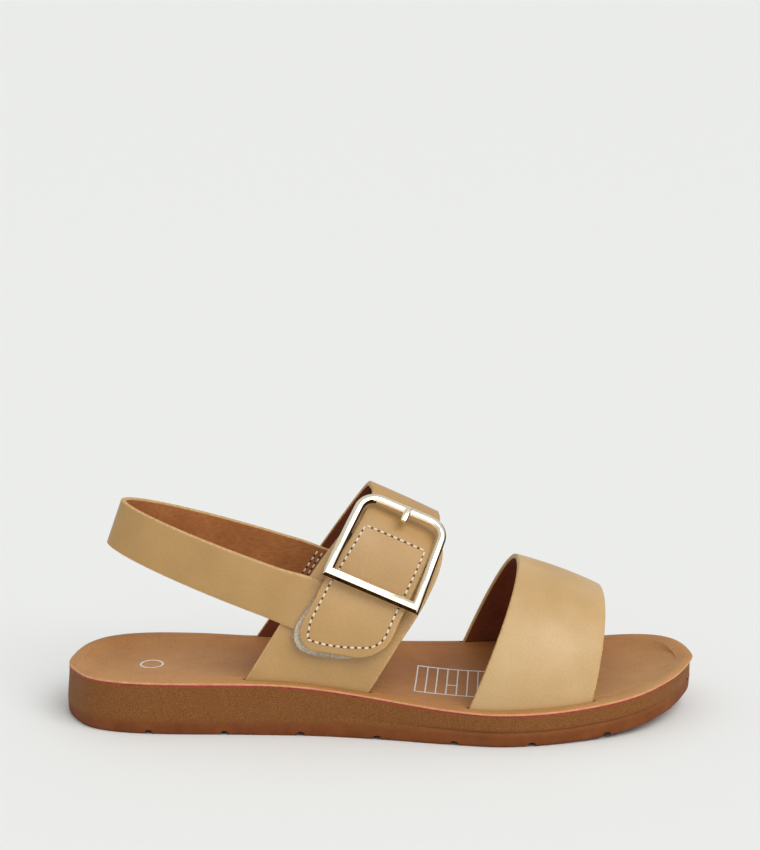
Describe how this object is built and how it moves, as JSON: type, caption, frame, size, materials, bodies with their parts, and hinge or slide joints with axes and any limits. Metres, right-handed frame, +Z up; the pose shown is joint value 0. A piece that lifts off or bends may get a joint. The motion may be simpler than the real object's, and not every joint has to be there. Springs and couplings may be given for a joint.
{
  "type": "slingback sandal",
  "caption": "Open flat slingback sandal, right foot: moulded sole, dished footbed, wide toe strap, and an instep strap with a square slide buckle and a heel sling.",
  "frame": {"origin": "on the floor under the middle of the sole's plan", "axes": "+X from the heel to the toe, +Y to the inner (medial) side of the foot, +Z up"},
  "size_m": [0.252, 0.0949, 0.0933],
  "materials": {
    "sole": "moulded, fine speckled grain, satin",
    "edge_band": "dark red painted edge",
    "footbed": "smooth satin",
    "strap_leather": "smooth, semi-matt",
    "hook_and_loop": "fuzzy loop tape",
    "gilt_metal": "polished pale gold plating"
  },
  "bodies": {
    "root": {"sole": "sole", "insole_board": "edge_band", "footbed": "footbed", "front_strap": "strap_leather", "upper": "strap_leather", "tape_patch": "hook_and_loop", "buckle": "gilt_metal"}
  },
  "joints": []
}
